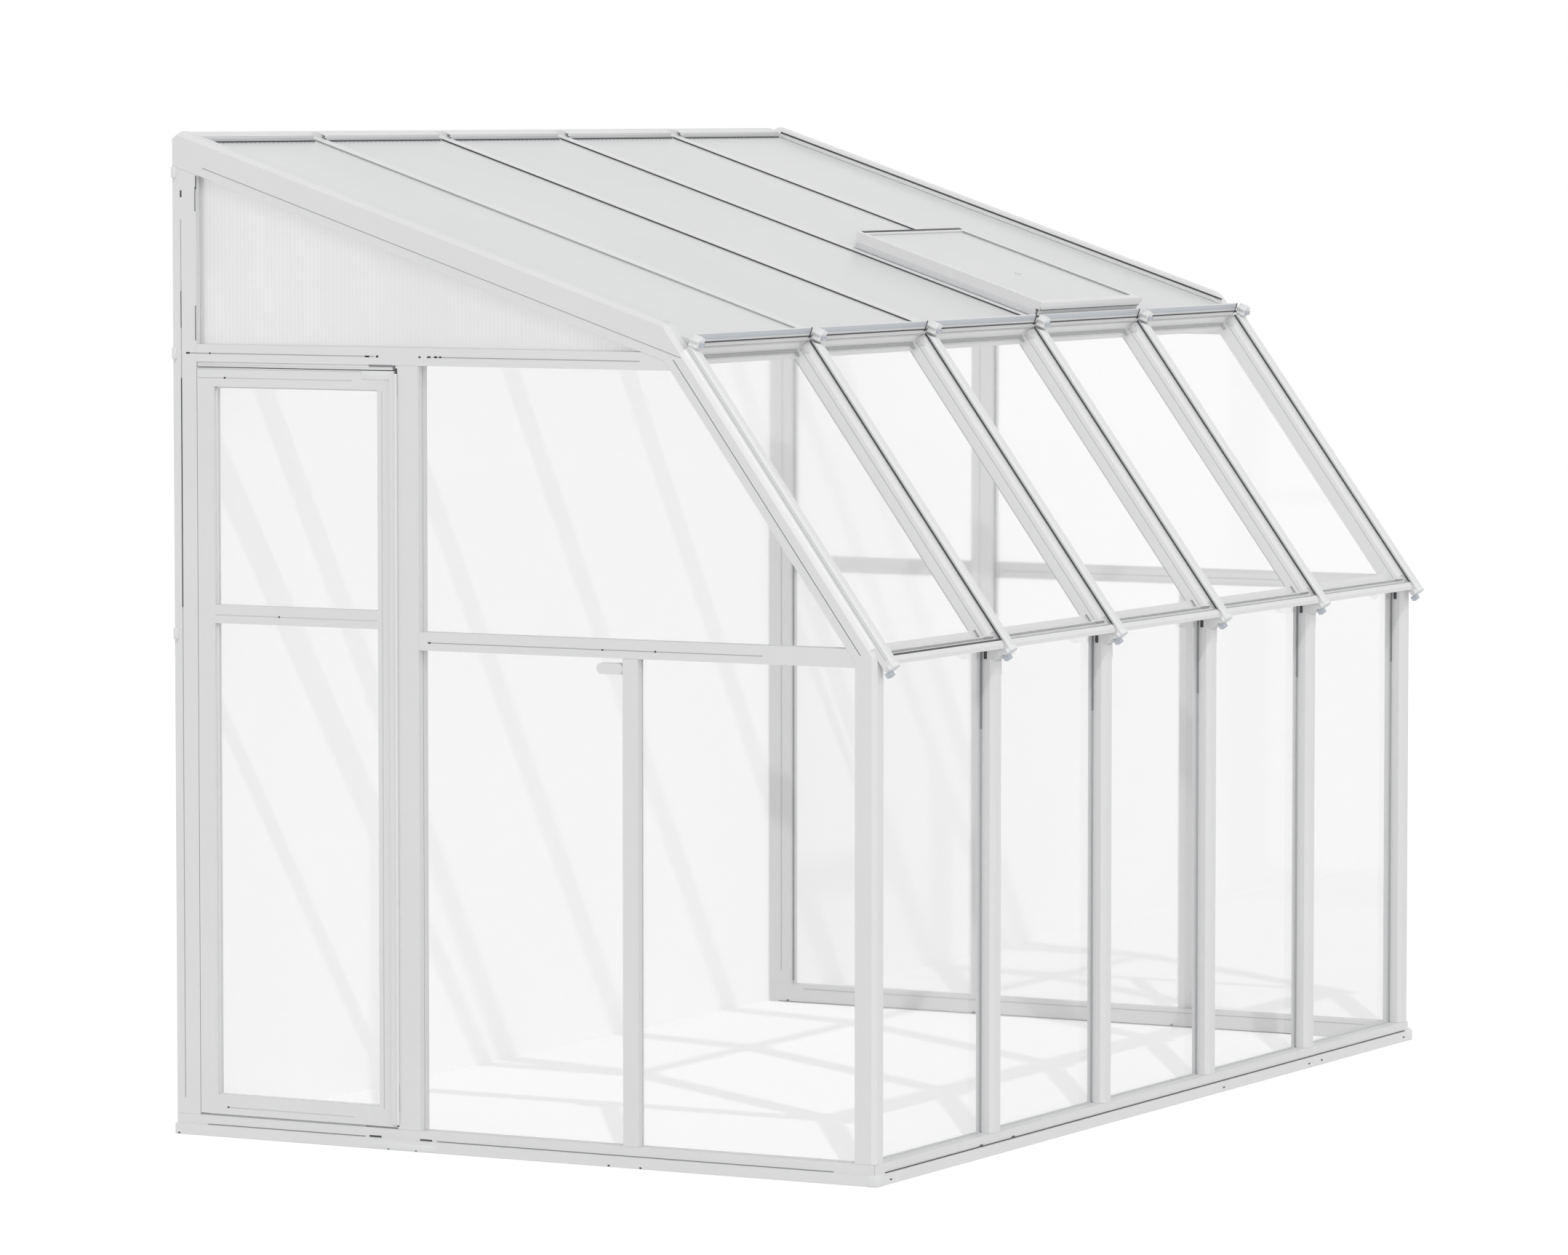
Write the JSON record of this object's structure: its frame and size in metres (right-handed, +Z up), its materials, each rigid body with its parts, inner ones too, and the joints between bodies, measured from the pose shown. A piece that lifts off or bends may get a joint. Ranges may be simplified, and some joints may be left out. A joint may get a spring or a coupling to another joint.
{
  "type": "lean-to greenhouse",
  "caption": "Lean-to greenhouse for a house wall: upright front, slanted windows, sloping twin-wall roof, a side door and a hinged roof vent.",
  "frame": {"origin": "on the ground, in the middle of the overall footprint", "axes": "+X along the house wall from the door end to the far end, +Y towards the house wall, +Z up"},
  "size_m": [3.139, 1.9866, 2.4649],
  "materials": {
    "frame_plastic": "white extruded profile, satin",
    "clear_glazing": "clear flat panes",
    "twin_wall_sheet": "translucent white fluted sheet",
    "stay_metal": "plain drawn bar"
  },
  "bodies": {
    "greenhouse": {"vent_header": "frame_plastic", "base_rail_front": "frame_plastic", "base_rail_door_end": "frame_plastic", "base_rail_far_end": "frame_plastic", "front_post_2": "frame_plastic", "front_post_3": "frame_plastic", "front_post_4": "frame_plastic", "front_post_5": "frame_plastic", "window_rafter_2": "frame_plastic", "window_rafter_3": "frame_plastic", "window_rafter_4": "frame_plastic", "window_rafter_5": "frame_plastic", "roof_rafter_2": "frame_plastic", "roof_rafter_3": "frame_plastic", "roof_rafter_4": "frame_plastic", "roof_rafter_5": "frame_plastic", "end_frame_door_end": "frame_plastic", "end_frame_far_end": "frame_plastic", "eave_rail": "frame_plastic", "knee_rail": "frame_plastic", "ridge_rail": "frame_plastic", "wall_post_door_end": "frame_plastic", "wall_post_far_end": "frame_plastic", "head_rail_door_end": "frame_plastic", "head_rail_far_end": "frame_plastic", "door_post": "frame_plastic", "bay_post_far_end": "frame_plastic", "mid_rail_door_end": "frame_plastic", "mid_rail_far_end": "frame_plastic", "mullion_door_end": "frame_plastic", "mullion_far_end": "frame_plastic", "front_pane_1": "clear_glazing", "front_pane_2": "clear_glazing", "front_pane_3": "clear_glazing", "front_pane_4": "clear_glazing", "front_pane_5": "clear_glazing", "window_pane_1": "clear_glazing", "window_pane_2": "clear_glazing", "window_pane_3": "clear_glazing", "window_pane_4": "clear_glazing", "window_pane_5": "clear_glazing", "door_end_upper_pane": "clear_glazing", "door_end_lower_pane_1": "clear_glazing", "door_end_lower_pane_2": "clear_glazing", "far_end_upper_pane": "clear_glazing", "far_end_lower_pane": "clear_glazing", "far_end_wall_pane": "clear_glazing", "roof_panel_1": "twin_wall_sheet", "roof_panel_2": "twin_wall_sheet", "roof_panel_3": "twin_wall_sheet", "roof_panel_4": "twin_wall_sheet", "roof_panel_5": "twin_wall_sheet", "door_end_gable_panel": "twin_wall_sheet", "far_end_gable_panel": "twin_wall_sheet"},
    "door": {"door_leaf": "frame_plastic", "door_pane": "clear_glazing"},
    "vent": {"vent_sash": "frame_plastic", "vent_pane": "twin_wall_sheet"},
    "stay": {"vent_stay": "stay_metal"},
    "catch": {"hold_back_catch": "frame_plastic"}
  },
  "joints": [
    {"name": "door_hinge", "type": "hinge", "parent": "greenhouse", "child": "door", "pos_m": [-1.5643, 0.35629, 0.972], "axis": [0, 0, 1], "range_deg": [0, 175]},
    {"name": "vent_hinge", "type": "hinge", "parent": "greenhouse", "child": "vent", "pos_m": [0.615, 0.10412, 2.16421], "axis": [-1, 0, 0], "range_deg": [0, 40]},
    {"name": "vent_stay_pivot", "type": "hinge", "parent": "vent", "child": "stay", "pos_m": [0.615, -0.37966, 2.01232], "axis": [-1, 0, 0], "range_deg": [0, 85]},
    {"name": "hold_back_catch", "type": "hinge", "parent": "greenhouse", "child": "catch", "pos_m": [-1.5511, -0.25421, 1.1915], "axis": [-1, 0, 0], "range_deg": [0, 90]}
  ]
}
